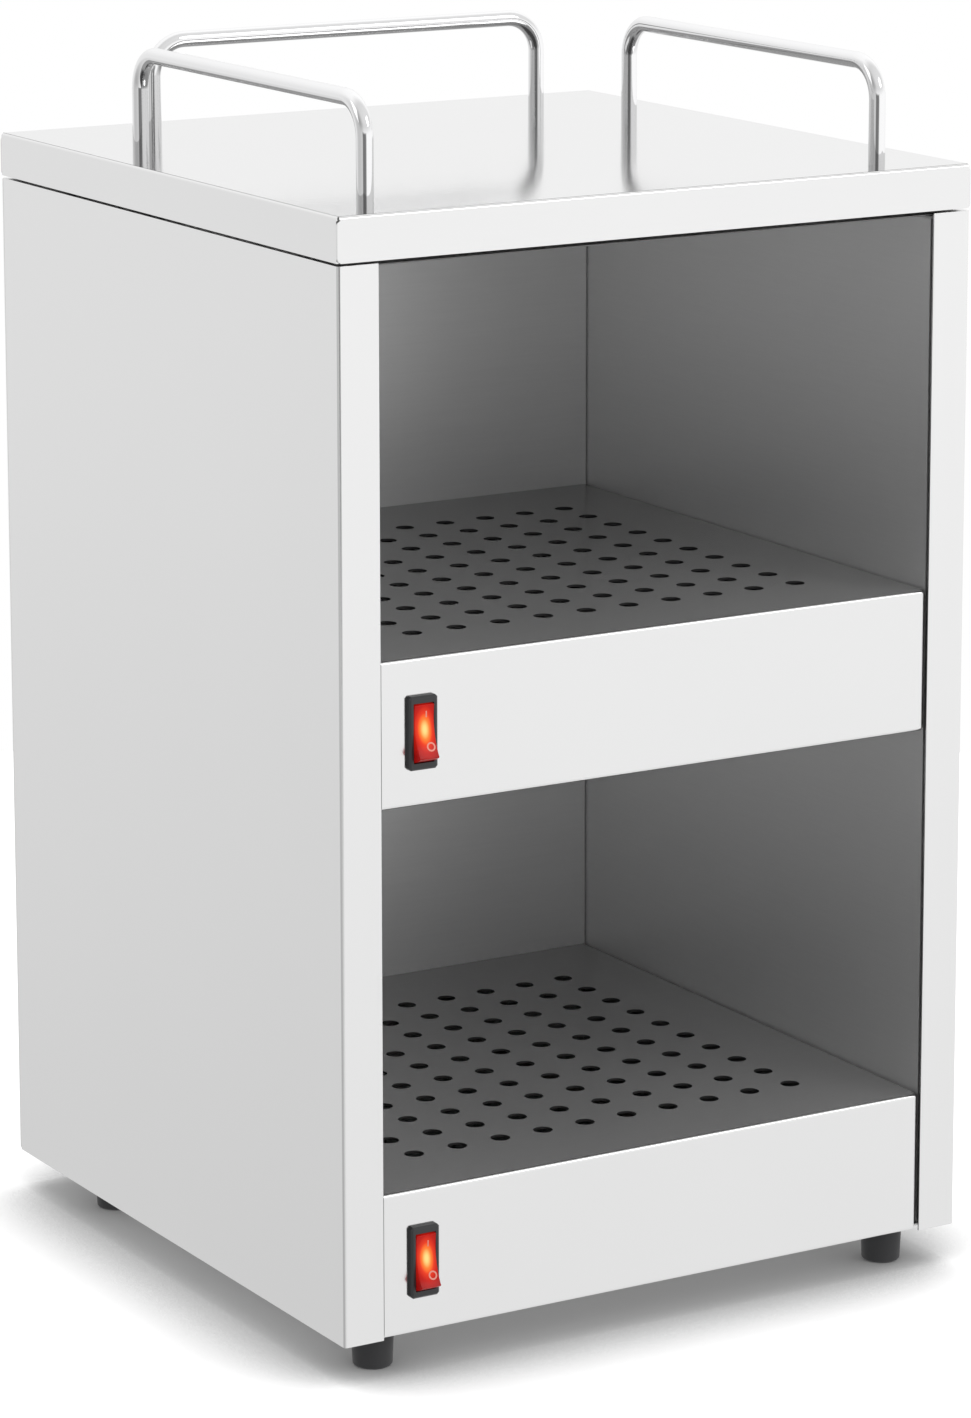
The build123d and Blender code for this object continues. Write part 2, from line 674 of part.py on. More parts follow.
# Rocker switches. On its side plane, the first axis runs back from the pivot and the second runs up
rocker_back = (0, cos(radians(rocker_tilt)), -sin(radians(rocker_tilt)))
lever_tilt = rocker_tilt * contact_ratio
lever_back = (0, cos(radians(lever_tilt)), sin(radians(lever_tilt)))
lever_pivot = plunger_reach + plunger_play + lever_rise
button_end = lever_thickness + lever_button_height - lever_rise
contact_start = lever_pivot + button_end * lever_back[1] + lever_length / 2 * lever_back[2] + contact_gap
holder_start = rocker_skirt + rocker_end * sin(radians(rocker_tilt)) + fit_gap
well_end = housing_depth - housing_back
for module, low in levels.items():
    switch_level = low + fascia_height / 2
    pivot = (switch_x, fascia_front, switch_level)
    side = Plane(origin=pivot, x_dir=(0, 1, 0), z_dir=(1, 0, 0))
    rest = Plane(origin=pivot, x_dir=rocker_back, z_dir=(1, 0, 0))

    with BuildPart() as housing:
        with BuildSketch(front_plane(*pivot)) as bezel:
            Rectangle(bezel_width, bezel_height)
            chamfer(bezel.vertices(), bezel_corner)
        extrude(amount=bezel_stand)
        chamfer(housing.faces().sort_by(Axis.Y)[0].edges(), bezel_edge)
        with BuildSketch(front_plane(*pivot)):
            Rectangle(2 * housing_half[0], 2 * housing_half[1])
        extrude(amount=-housing_depth)
        with BuildSketch(front_plane(switch_x, fascia_front - bezel_stand, switch_level)):
            Rectangle(well_width, well_height)
        extrude(amount=-(bezel_stand + well_end), mode=Mode.SUBTRACT)
        for way in (-1, 1):
            with BuildSketch(side.offset(-snap_width / 2)):
                with BuildLine():
                    Polyline(
                        (sheet + fit_gap, way * housing_half[1]),
                        (sheet + fit_gap, way * (housing_half[1] + snap_rise)),
                        (sheet + snap_length, way * housing_half[1]),
                        close=True,
                    )
                make_face()
            extrude(amount=snap_width)
        with BuildSketch(side.offset(-(well_width / 2 + rocker_pin_length))):
            Circle(rocker_pin_radius + rocker_pin_gap)
        extrude(amount=well_width + 2 * rocker_pin_length, mode=Mode.SUBTRACT)
        with BuildSketch(front_plane(switch_x, fascia_front + well_end, switch_level)):
            with GridLocations(0, terminal_spread, 1, 3):
                Rectangle(blade_width, blade_thickness)
        extrude(amount=-housing_back, mode=Mode.SUBTRACT)
    keep(housing, f"{module}_switch_housing")

    rocker_half = well_width / 2 - rocker_side_gap
    with BuildPart() as rocker:
        with BuildSketch(rest.offset(-rocker_half)):
            with BuildLine():
                skirt_edge = sqrt(rocker_end**2 - rocker_skirt**2)
                ThreePointArc(
                    (-rocker_stand, rocker_tip), (rocker_hollow - rocker_stand, 0), (-rocker_stand, -rocker_tip)
                )
                ThreePointArc((-rocker_stand, -rocker_tip), (0, -rocker_end), (rocker_skirt, -skirt_edge))
                Line((rocker_skirt, -skirt_edge), (rocker_skirt, skirt_edge))
                ThreePointArc((rocker_skirt, skirt_edge), (0, rocker_end), (-rocker_stand, rocker_tip))
            make_face()
        extrude(amount=2 * rocker_half)
        roof = rocker_stand - rocker_hollow - rocker_wall
        hollow_half = skirt_edge - rocker_wall
        with BuildSketch(rest.offset(rocker_wall - rocker_half)):
            with Locations(((rocker_skirt - roof) / 2, 0)):
                Rectangle(rocker_skirt + roof, 2 * hollow_half)
        extrude(amount=2 * (rocker_half - rocker_wall), mode=Mode.SUBTRACT)
        boss_plane = Plane(origin=pivot, x_dir=(1, 0, 0), z_dir=rocker_back)
        prism(boss_radius, boss_plane.offset(-roof), roof + boss_end, plunger_sides)
        bore(plunger_radius + plunger_gap, boss_plane.offset(boss_end), boss_end - plunger_root, plunger_sides)
        for way in (-1, 1):
            with BuildSketch(side.offset(way * rocker_half)):
                Circle(rocker_pin_radius)
            extrude(amount=way * (rocker_side_gap + rocker_pin_length - rocker_pin_gap))
    keep(rocker, f"{module}_switch_rocker")

    with BuildPart() as plunger:
        prism(plunger_radius, boss_plane.offset(plunger_root), plunger_reach - plunger_root, plunger_sides)
        chamfer(plunger.faces().sort_by(Axis.Y)[-1].edges(), plunger_radius - plunger_tip)
    keep(plunger, f"{module}_switch_plunger")

    lever_origin = (switch_x, fascia_front + lever_pivot, switch_level)
    lever_plane = Plane(origin=lever_origin, x_dir=(1, 0, 0), z_dir=lever_back)
    with BuildPart() as lever:
        with BuildSketch(lever_plane.offset(-lever_rise)):
            Rectangle(lever_width, lever_length)
        extrude(amount=lever_thickness)
        with BuildSketch(lever_plane.offset(lever_thickness - lever_rise)):
            with Locations((0, lever_length / 2 - lever_button)):
                RegularPolygon(lever_button, plunger_sides)
        extrude(amount=lever_button_height)
    keep(lever, f"{module}_switch_lever")

    with BuildPart() as terminals:
        blade_starts = {
            -terminal_spread: contact_start,
            0: lever_pivot,
            terminal_spread: well_end - housing_wall,
        }
        for rise, start in blade_starts.items():
            z = switch_level + rise
            blade_low = (switch_x - blade_width / 2, fascia_front + start, z - blade_thickness / 2)
            blade_end = fascia_front + housing_depth + terminal_tail
            blade_high = (switch_x + blade_width / 2, blade_end, z + blade_thickness / 2)
            block(blade_low, blade_high)
        with BuildSketch(Plane(origin=lever_origin, x_dir=(0, 1, 0), z_dir=(1, 0, 0)).offset(-blade_width / 2)):
            Circle(blade_thickness / 2)
        extrude(amount=blade_width)
    keep(terminals, f"{module}_switch_terminals")

    with BuildPart() as lamp:
        lamp_level = switch_level + lamp_place
        tip_plane = front_plane(switch_x, fascia_front + lamp_tip, lamp_level)
        prism(lamp_radius, tip_plane, lamp_tip - holder_start, lamp_sides)
        lead_x = lever_width / 2 + lead_gap
        holder_half = lead_x + lead_thickness
        holder_low = (switch_x - holder_half, fascia_front + holder_start, lamp_level - lamp_radius)
        holder_high = (switch_x + holder_half, fascia_front + holder_start + lamp_holder, lamp_level + lamp_radius)
        block(holder_low, holder_high)
        for way in (-1, 1):
            near = min(way * lead_x, way * holder_half)
            lead_low = (switch_x + near, fascia_front + holder_start, lamp_level - lead_thickness / 2)
            lead_high = (switch_x + near + lead_thickness, fascia_front + well_end, lamp_level + lead_thickness / 2)
            block(lead_low, lead_high)
    keep(lamp, f"{module}_switch_lamp")
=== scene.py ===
# %% [markdown]
# # A two-shelf cup warmer
#
# The object is a folded steel case with two open compartments. Each has a perforated shelf, and
# each shelf has a fascia with a lit rocker switch. A tray lid on top carries three chrome rails.
#
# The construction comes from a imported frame. This lesson dresses it: it gives every surface a
# finish and models again what the frame keeps plain, such as round rods, round holes and soft
# sheet edges. Lengths are in metres, X runs to the right, the front faces -Y and Z is up.

# %% Load the frame
import json
from math import atan2, cos, hypot, pi, radians, sin

import bmesh
import bpy
from mathutils import Matrix, Vector


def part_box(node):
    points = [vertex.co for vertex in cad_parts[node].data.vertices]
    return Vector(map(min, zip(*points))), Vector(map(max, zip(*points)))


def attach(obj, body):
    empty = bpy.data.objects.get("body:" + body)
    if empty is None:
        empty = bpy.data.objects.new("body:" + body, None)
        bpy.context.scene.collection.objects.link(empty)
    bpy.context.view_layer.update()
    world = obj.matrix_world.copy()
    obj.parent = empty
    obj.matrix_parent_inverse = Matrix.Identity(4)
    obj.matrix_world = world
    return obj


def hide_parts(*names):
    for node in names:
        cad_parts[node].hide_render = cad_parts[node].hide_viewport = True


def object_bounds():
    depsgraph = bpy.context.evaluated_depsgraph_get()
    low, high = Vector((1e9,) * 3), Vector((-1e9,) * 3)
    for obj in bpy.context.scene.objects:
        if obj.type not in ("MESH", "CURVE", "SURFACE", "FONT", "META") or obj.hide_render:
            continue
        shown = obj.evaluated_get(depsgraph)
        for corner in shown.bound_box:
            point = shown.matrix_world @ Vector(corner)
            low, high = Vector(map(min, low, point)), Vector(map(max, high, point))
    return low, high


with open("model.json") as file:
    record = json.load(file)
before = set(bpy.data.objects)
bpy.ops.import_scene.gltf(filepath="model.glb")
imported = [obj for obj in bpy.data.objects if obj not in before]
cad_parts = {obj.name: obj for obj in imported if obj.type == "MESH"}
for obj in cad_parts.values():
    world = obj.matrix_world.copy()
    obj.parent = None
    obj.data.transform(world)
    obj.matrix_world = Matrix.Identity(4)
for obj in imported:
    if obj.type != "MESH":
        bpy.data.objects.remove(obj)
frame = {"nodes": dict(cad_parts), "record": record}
cad_low, cad_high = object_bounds()
print("frame: nodes", len(frame["nodes"]), "size", [round(v, 4) for v in cad_high - cad_low])

# %% [markdown]
# ## The camera
#
# The photograph was taken with a long lens from the left, slightly above the lid. A camera in
# Blender looks along its own -Z, so its turn is worked out from the azimuth and the pitch. The
# picture is shifted down a little, which keeps the case's upright edges nearly upright.

# %% Camera
picture_width = 971
picture_height = 1418
sensor = 36.0
focal_pixels = 5318.6
camera_azimuth = radians(30.673)
camera_pitch = radians(11.189)
camera_roll = radians(-0.068)
camera_place = Vector((-1.1379, -1.9337, 0.7687))
camera_shift = -0.15
nearest = 0.05
farthest = 50.0

camera_data = bpy.data.cameras.new("camera")
camera_data.sensor_width = sensor
camera_data.lens = sensor * focal_pixels / picture_height
camera_data.shift_y = camera_shift
camera_data.clip_start = nearest
camera_data.clip_end = farthest
camera = bpy.data.objects.new("camera", camera_data)
bpy.context.scene.collection.objects.link(camera)
ahead = Vector((
    sin(camera_azimuth) * cos(camera_pitch),
    cos(camera_azimuth) * cos(camera_pitch),
    -sin(camera_pitch),
))
level_right = Vector((cos(camera_azimuth), -sin(camera_azimuth), 0.0))
level_up = level_right.cross(ahead)
right = level_right * cos(camera_roll) + level_up * sin(camera_roll)
up = level_up * cos(camera_roll) - level_right * sin(camera_roll)
turn = Matrix((right, up, -ahead)).transposed()
camera.matrix_world = Matrix.Translation(camera_place) @ turn.to_4x4()
bpy.context.scene.camera = camera
print("camera: lens", round(camera_data.lens, 1), "mm, picture", picture_width, "by", picture_height)

# %% [markdown]
# ## Helpers for shader nodes
#
# Worlds and materials are trees of nodes. The next helpers add a node, feed its inputs with
# numbers or with the outputs of other nodes, and name the small sums that repeat.

# %% Nodes by name
def add_node(tree, kind, **values):
    """Adds a node. A value goes to a property of the node, or else to the input of that name."""
    node = tree.nodes.new(kind)
    for name, value in values.items():
        if hasattr(node, name):
            setattr(node, name, value)
        else:
            node.inputs[name.replace("_", " ")].default_value = value
    return node


def feed(tree, value, socket):
    """Gives a socket a number, or links another socket to it."""
    if isinstance(value, (int, float)):
        socket.default_value = value
    else:
        tree.links.new(value, socket)


def math_node(tree, operation, *values):
    """A Math node on sockets or numbers. It returns the output."""
    node = add_node(tree, "ShaderNodeMath", operation=operation)
    for value, socket in zip(values, node.inputs):
        feed(tree, value, socket)
    return node.outputs[0]


def mixed(tree, share, first, second):
    """Goes from the first value to the second as share goes from 0 to 1."""
    node = add_node(tree, "ShaderNodeMix", data_type="FLOAT")
    factor, _, first_value, second_value = node.inputs[:4]
    feed(tree, share, factor)
    feed(tree, first, first_value)
    feed(tree, second, second_value)
    return node.outputs[0]


def graded(tree, value, start, end, low, high):
    """Goes smoothly from low to high as a socket's value goes from start to end."""
    node = add_node(tree, "ShaderNodeMapRange", interpolation_type="SMOOTHSTEP",
                    From_Min=start, From_Max=end, To_Min=low, To_Max=high)
    tree.links.new(value, node.inputs["Value"])
    return node.outputs[0]


def grey(level):
    """A colour with no hue."""
    return (level, level, level)


# %% [markdown]
# ## The light
#
# Polished steel shows what stands round it, so the surroundings are the light. A studio for
# such a product is a white room. The world is white for the camera, and nearly white for
# reflections, a little darker low down, to the left and overhead in front. A dark upright flag
# behind the camera draws the dark lines along the chrome rods and keeps the open compartments
# grey. Plain surfaces are lit by one even level of the same world, and by two soft lamps.

# %% World
# Levels of the room, and the ranges of direction over which they change.
white = (1.0, 1.0, 1.0, 1.0)
room_level = 0.92
room_seen = 1.0
room_mean = 0.965
room_tilt = (0.07, -0.07)
left_drop = 0.30
left_range = (-1.0, -0.45)
low_drop = 0.155
low_range = (-0.38, -0.10)
high_rise = 0.14
high_range = (0.0, 0.7)
overhead_drop = 0.36
overhead_range = (0.02, 0.42)
overhead_front = (-0.2, 0.4)

# The flag. Glossy rays of a first reflection have a depth below first_depth, and later ones above.
flag_level = 0.20
flag_sides = (0.24, 0.52)
flag_back = (-0.3, 0.0)
flag_low = (-0.25, -0.17)
flag_high = (0.03, 0.17)
first_depth = 1.5
echo_level = 0.38
echo_range = (0.02, 0.28)

world = bpy.data.worlds.new("studio")
bpy.context.scene.world = world
world.use_nodes = True
tree = world.node_tree
tree.nodes.clear()
path = add_node(tree, "ShaderNodeLightPath")
place = add_node(tree, "ShaderNodeTexCoord")
axes = add_node(tree, "ShaderNodeSeparateXYZ")
tree.links.new(place.outputs["Generated"], axes.inputs[0])
look_x, look_y, look_z = axes.outputs

# %% [markdown]
# The world's colour depends on the direction in which a ray leaves. Each line below adds or takes
# away a part of the room's level over a range of directions.

# %% Room
room = math_node(tree, "MULTIPLY_ADD", look_x, room_tilt[0], room_mean)
room = math_node(tree, "MULTIPLY_ADD", look_y, room_tilt[1], room)
room = math_node(tree, "SUBTRACT", room, graded(tree, look_x, *left_range, left_drop, 0.0))
room = math_node(tree, "SUBTRACT", room, graded(tree, look_z, *low_range, low_drop, 0.0))
room = math_node(tree, "ADD", room, graded(tree, look_z, *high_range, 0.0, high_rise))
overhead = math_node(tree, "MULTIPLY", graded(tree, look_z, *overhead_range, 0.0, overhead_drop),
                     graded(tree, look_y, *overhead_front, 1.0, 0.0))
room = math_node(tree, "SUBTRACT", room, overhead)

# %% [markdown]
# The flag is an upright band straight behind the camera. A first reflection meets it only near
# the height of the horizon. Later reflections, which come out of the open compartments, meet it
# at any height, and for them the upper half of the room is darker too.

# %% Flag
across = math_node(tree, "MULTIPLY", look_x, cos(camera_azimuth))
along = math_node(tree, "MULTIPLY", look_y, sin(camera_azimuth))
aside = math_node(tree, "ABSOLUTE", math_node(tree, "SUBTRACT", across, along))
inward = math_node(tree, "MULTIPLY", look_x, sin(camera_azimuth))
inward = math_node(tree, "MULTIPLY_ADD", look_y, cos(camera_azimuth), inward)
clear = math_node(tree, "MAXIMUM", graded(tree, aside, *flag_sides, flag_level, 1.0),
                  graded(tree, inward, *flag_back, 0.0, 1.0))
past_ends = math_node(tree, "MAXIMUM", graded(tree, look_z, *flag_low, 1.0, 0.0),
                      graded(tree, look_z, *flag_high, 0.0, 1.0))
first = math_node(tree, "LESS_THAN", path.outputs["Glossy Depth"], first_depth)
clear = math_node(tree, "MAXIMUM", clear, math_node(tree, "MULTIPLY", past_ends, first))
room = math_node(tree, "MULTIPLY", room, clear)
echo = math_node(tree, "SUBTRACT", 1.0, first)
echo = math_node(tree, "MULTIPLY", echo, graded(tree, look_z, *echo_range, 0.0, 1.0))
room = math_node(tree, "MULTIPLY", room, math_node(tree, "MULTIPLY_ADD", echo, echo_level - 1.0, 1.0))

# %% World output
glossy = math_node(tree, "MAXIMUM", path.outputs["Is Glossy Ray"], path.outputs["Is Transmission Ray"])
level = mixed(tree, glossy, room_level, room)
level = mixed(tree, path.outputs["Is Camera Ray"], level, room_seen)
background = add_node(tree, "ShaderNodeBackground", Color=white)
tree.links.new(level, background.inputs["Strength"])
output = add_node(tree, "ShaderNodeOutputWorld")
tree.links.new(background.outputs[0], output.inputs["Surface"])
bpy.context.scene.view_settings.view_transform = "Standard"
print("world: level", room_level, "for plain surfaces and about", room_mean, "for gloss")

# %% [markdown]
# Two square area lamps give plain surfaces some shape: a key from the front right and a weaker
# fill from the left. They are large, so their shadows are soft.

# %% Lamps
lamp_size = 1.2
key_spot = (1.6, -2.4, 2.2)
key_power = 10.0
left_spot = (-2.2, 0.4, 1.6)
left_power = 3.0


def soft_lamp(name, spot, aim, power):
    """A square area lamp at a spot, turned to its aim."""
    data = bpy.data.lights.new(name, "AREA")
    data.size = lamp_size
    data.energy = power
    lamp = bpy.data.objects.new(name, data)
    bpy.context.scene.collection.objects.link(lamp)
    lamp.location = spot
    lamp.rotation_euler = (aim - Vector(spot)).to_track_quat("-Z", "Y").to_euler()


middle = (cad_low + cad_high) / 2
soft_lamp("key_lamp", key_spot, middle, key_power)
soft_lamp("left_lamp", left_spot, middle, left_power)
print("lamps: key from the front right, fill from the left")

# %% [markdown]
# ## The floor
#
# The warmer stands on a white sweep. Diffuse paint catches the soft shadow under the case, and a
# glow that only the camera sees lifts the open part to the white of the background. The glow
# fades out with ambient occlusion where the case stands close. This paints a darker contact
# shadow round the feet, a painted shadow on top of the real one.

# %% Floor
floor_radius = 0.9
floor_sides = 96
floor_colour = 0.52
floor_glow = 0.90
shadow_reach = 0.085
shadow_range = (0.42, 0.97)

bpy.ops.object.select_all(action="DESELECT")
bpy.ops.mesh.primitive_circle_add(vertices=floor_sides, radius=floor_radius, fill_type="NGON",
                                  location=(0, 0, 0))
floor = bpy.context.object
floor.name = "floor"
floor.visible_glossy = False
paint = bpy.data.materials.new("floor_paint")
paint.use_nodes = True
tree = paint.node_tree
tree.nodes.clear()
path = add_node(tree, "ShaderNodeLightPath")
matt = add_node(tree, "ShaderNodeBsdfDiffuse", Color=(*grey(floor_colour), 1.0))
# Ambient occlusion fades the camera's glow near the case. This paints a contact shadow on the floor.
openness = add_node(tree, "ShaderNodeAmbientOcclusion", samples=8, Distance=shadow_reach)
painted_shadow_glow = graded(tree, openness.outputs["AO"], *shadow_range, 0.0, 1.0)
painted_shadow_glow = math_node(tree, "MULTIPLY", painted_shadow_glow, floor_glow)
glow = add_node(tree, "ShaderNodeEmission", Color=white)
tree.links.new(math_node(tree, "MULTIPLY", path.outputs["Is Camera Ray"], painted_shadow_glow), glow.inputs["Strength"])
both = add_node(tree, "ShaderNodeAddShader")
tree.links.new(matt.outputs[0], both.inputs[0])
tree.links.new(glow.outputs[0], both.inputs[1])
output = add_node(tree, "ShaderNodeOutputMaterial")
tree.links.new(both.outputs[0], output.inputs["Surface"])
floor.data.materials.append(paint)
print("floor: a disc of radius", floor_radius, "m")

# %% [markdown]
# ## Finishes
#
# Each finish is a small node tree on one Principled shader. Grain, dirt and polish come from
# noise on Object coordinates, which are real metres here, so a scale of 400 is a pattern about
# 2.5 mm across. What is the same all over is set on the shader's own sockets.

# %% A finish with grain
def finish(name, colour, roughness, spread, grain, shade, metallic=0.0, bump=0.0, bump_scale=None,
           **values):
    """A material whose shade and polish vary with noise.

    grain is the noise's scale on each axis, shade the share by which the colour varies and spread
    the range of the roughness. bump is the depth of a relief, on the same grain or on a scale of
    its own. Other values go to the shader's inputs of that name.
    """
    material = bpy.data.materials.new(name)
    material.use_nodes = True
    tree = material.node_tree
    shader = tree.nodes["Principled BSDF"]
    shader.inputs["Metallic"].default_value = metallic
    for key, value in values.items():
        shader.inputs[key.replace("_", " ")].default_value = value
    place = add_node(tree, "ShaderNodeTexCoord").outputs["Object"]
    stretch = add_node(tree, "ShaderNodeMapping", Scale=grain)
    tree.links.new(place, stretch.inputs["Vector"])
    noise = add_node(tree, "ShaderNodeTexNoise", Scale=1.0, Detail=3.0, Roughness=0.6)
    tree.links.new(stretch.outputs[0], noise.inputs["Vector"])
    tint = add_node(tree, "ShaderNodeMapRange", To_Min=1.0 - shade, To_Max=1.0 + shade)
    tree.links.new(noise.outputs["Fac"], tint.inputs["Value"])
    paint = add_node(tree, "ShaderNodeVectorMath", operation="SCALE")
    paint.inputs[0].default_value = colour
    tree.links.new(tint.outputs[0], paint.inputs["Scale"])
    tree.links.new(paint.outputs[0], shader.inputs["Base Color"])
    polish = add_node(tree, "ShaderNodeMapRange", To_Min=roughness - spread, To_Max=roughness + spread)
    tree.links.new(noise.outputs["Fac"], polish.inputs["Value"])
    tree.links.new(polish.outputs[0], shader.inputs["Roughness"])
    if bump:
        fine = add_node(tree, "ShaderNodeTexNoise", Scale=bump_scale or 1.0, Detail=2.0)
        tree.links.new(place if bump_scale else stretch.outputs[0], fine.inputs["Vector"])
        relief = add_node(tree, "ShaderNodeBump", Strength=1.0, Distance=bump)
        tree.links.new(fine.outputs["Fac"], relief.inputs["Height"])
        tree.links.new(relief.outputs[0], shader.inputs["Normal"])
    return material


# %% Metal finishes
case_steel = finish("case_steel", grey(0.84), metallic=1.0, roughness=0.17, spread=0.03,
                    grain=(9, 9, 9), shade=0.012, bump=0.00002, bump_scale=40)
lid_steel = finish("lid_steel", grey(0.83), metallic=1.0, roughness=0.10, spread=0.02,
                   grain=(9, 9, 9), shade=0.012)
inner_steel = finish("inner_steel", grey(0.84), metallic=0.82, roughness=0.37, spread=0.03,
                     grain=(30, 30, 900), shade=0.03, bump=0.000004)
# The shelf plate is the same steel as the fascia. This darker copy is painted shade for the inside of the
# compartment.
shaded_shelf_steel = finish("shaded_shelf_steel", grey(0.54), metallic=0.62, roughness=0.24, spread=0.02,
                     grain=(30, 900, 900), shade=0.02, bump=0.000001,
                     Specular_Tint=(*grey(0.45), 1.0))
# Painted shade: the walls of the holes are painted near black, as the shade inside them.
painted_hole_shade = finish("painted_hole_shade", grey(0.05), metallic=0.6, roughness=0.60, spread=0.05,
                       grain=(900, 900, 900), shade=0.05)
chrome = finish("rail_chrome", (0.90, 0.90, 0.905), metallic=1.0, roughness=0.06, spread=0.02,
                grain=(60, 60, 60), shade=0.01)
zinc = finish("fastener_zinc", (0.66, 0.67, 0.68), metallic=1.0, roughness=0.32, spread=0.06,
              grain=(900, 900, 900), shade=0.06, bump=0.00001)
contact = finish("switch_contact", (0.80, 0.62, 0.34), metallic=1.0, roughness=0.30, spread=0.06,
                 grain=(700, 700, 700), shade=0.05)
heater_steel = finish("heater_tube", (0.30, 0.27, 0.24), metallic=1.0, roughness=0.45, spread=0.10,
                      grain=(260, 260, 260), shade=0.12, bump=0.00002)
print("metals: case, lid, inner, shelf, punched, chrome, zinc, contact and heater")

# %% Plastics, rubber and glass
black_case = finish("switch_case", (0.030, 0.031, 0.033), roughness=0.36, spread=0.05,
                    grain=(500, 500, 500), shade=0.10, bump=0.00001, bump_scale=2600)
foot_rubber = finish("foot_rubber", (0.028, 0.028, 0.030), roughness=0.62, spread=0.08,
                     grain=(300, 300, 300), shade=0.15, bump=0.00003, bump_scale=1500)
plunger_plastic = finish("switch_plunger", (0.70, 0.70, 0.66), roughness=0.45, spread=0.05,
                         grain=(400, 400, 400), shade=0.04)
ceramic = finish("thermostat_case", (0.62, 0.60, 0.55), roughness=0.55, spread=0.08,
                 grain=(300, 300, 300), shade=0.06)
block_plastic = finish("terminal_plastic", (0.72, 0.71, 0.66), roughness=0.48, spread=0.05,
                       grain=(300, 300, 300), shade=0.05)
nylon = finish("gland_nylon", (0.026, 0.026, 0.028), roughness=0.46, spread=0.06,
               grain=(400, 400, 400), shade=0.10, bump=0.00001, bump_scale=2200)
seal_rubber = finish("gland_rubber", grey(0.022), roughness=0.70, spread=0.05,
                     grain=(300, 300, 300), shade=0.10)
lamp_glass = finish("lamp_glass", (1.0, 0.45, 0.18), roughness=0.08, spread=0.02,
                    grain=(200, 200, 200), shade=0.02, Transmission_Weight=0.8, IOR=1.5)
mark_paint = finish("mark_paint", (0.90, 0.34, 0.26), roughness=0.40, spread=0.05,
                    grain=(900, 900, 900), shade=0.05)
print("plain finishes: switch, feet, plunger, thermostat, block, gland, lamp and marks")

# %% [markdown]
# ## The lit rocker
#
# The rocker is clear red plastic over a small lamp. In the photograph the light gathers in a
# pale yellow spot above the middle and turns orange and then red towards the edges. The glow is
# a colour ramp on the distance from the lamp, in real metres, so it looks the same from any side.

# %% Rocker finish
glow_stretch = (1.15, 0.8, 0.60)
glow_reach = 0.0082
glow_strength = 0.9
glow_stops = (
    (0.00, (1.0, 0.96, 0.44)),
    (0.15, (1.0, 0.80, 0.26)),
    (0.31, (0.95, 0.27, 0.04)),
    (0.48, (0.68, 0.048, 0.012)),
    (0.70, (0.34, 0.008, 0.003)),
    (1.00, (0.11, 0.001, 0.001)),
)


def rocker_finish(name, lamp_spot):
    """Clear red plastic that glows round a lamp."""
    material = finish(name, (0.30, 0.005, 0.004), roughness=0.22, spread=0.03, grain=(500, 500, 500),
                      shade=0.04, Coat_Weight=0.04, Coat_Roughness=0.06, IOR=1.49,
                      Specular_IOR_Level=0.14)
    tree = material.node_tree
    shader = tree.nodes["Principled BSDF"]
    place = add_node(tree, "ShaderNodeTexCoord")
    lamp_offset = [-spot * stretch for spot, stretch in zip(lamp_spot, glow_stretch)]
    centre = add_node(tree, "ShaderNodeMapping", Location=lamp_offset, Scale=glow_stretch)
    tree.links.new(place.outputs["Object"], centre.inputs["Vector"])
    away = add_node(tree, "ShaderNodeVectorMath", operation="LENGTH")
    tree.links.new(centre.outputs[0], away.inputs[0])
    share = math_node(tree, "DIVIDE", away.outputs["Value"], glow_reach)
    ramp = add_node(tree, "ShaderNodeValToRGB")
    elements = ramp.color_ramp.elements
    while len(elements) < len(glow_stops):
        elements.new(1.0)
    for element, (position, colour) in zip(elements, glow_stops):
        element.position = position
        element.color = (*colour, 1.0)
    tree.links.new(share, ramp.inputs["Fac"])
    tree.links.new(ramp.outputs["Color"], shader.inputs["Emission Color"])
    shader.inputs["Emission Strength"].default_value = glow_strength
    return material


# %% [markdown]
# ## Finishes on the frame's own pieces
#
# Most of the inner pieces keep their shape from the frame. They only take a finish in their
# material slot. The rockers get their glow further down.

# %% Finish of every node
finishes = {
    "case_steel": case_steel,
    "inner_steel": inner_steel,
    "rail_chrome": chrome,
    "fastener_zinc": zinc,
    "foot_rubber": foot_rubber,
    "switch_case": black_case,
    "switch_plunger": plunger_plastic,
    "switch_contact": contact,
    "lamp_glass": lamp_glass,
    "heater_tube": heater_steel,
    "thermostat_case": ceramic,
    "terminal_plastic": block_plastic,
    "gland_nylon": nylon,
    "gland_rubber": seal_rubber,
}
node_slots = {entry["node"]: entry["material_slot"] for entry in frame["record"]["subparts"]}
for node, shape in frame["nodes"].items():
    if node_slots[node] in finishes:
        shape.data.materials.clear()
        shape.data.materials.append(finishes[node_slots[node]])
print("finishes for", len(node_slots), "nodes")

# %% [markdown]
# ## Working by hand
#
# The next helpers do what a modeller does with the mouse. An operator acts on all that is
# selected, so each starts by deselecting everything. A finished piece has its place in its mesh,
# takes a finish and rides on a body of the frame, so that it moves when that body moves.

# %% Selecting and finishing
near = 0.00002
merge_distance = 0.000001


def pick(shape):
    """Makes one object the only selected one, and the active one."""
    bpy.ops.object.select_all(action="DESELECT")
    shape.select_set(True)
    bpy.context.view_layer.objects.active = shape


def select_where(shape, kind, test):
    """In edit mode, selects only the vertices, edges or faces that pass a test."""
    bpy.ops.mesh.select_mode(type={"verts": "VERT", "edges": "EDGE", "faces": "FACE"}[kind])
    bpy.ops.mesh.select_all(action="DESELECT")
    work = bmesh.from_edit_mesh(shape.data)
    chosen = [part for part in getattr(work, kind) if test(part)]
    for part in chosen:
        part.select_set(True)
    work.select_flush_mode()
    bmesh.update_edit_mesh(shape.data)
    return len(chosen)


def extrude_by(offset):
    """Extrudes the selected loop or face and moves the new end."""
    bpy.ops.mesh.extrude_region_move(TRANSFORM_OT_translate={"value": offset})


def normals_outward():
    """Turns the normals of the whole mesh in edit mode outward."""
    bpy.ops.mesh.select_all(action="SELECT")
    bpy.ops.mesh.normals_make_consistent(inside=False)


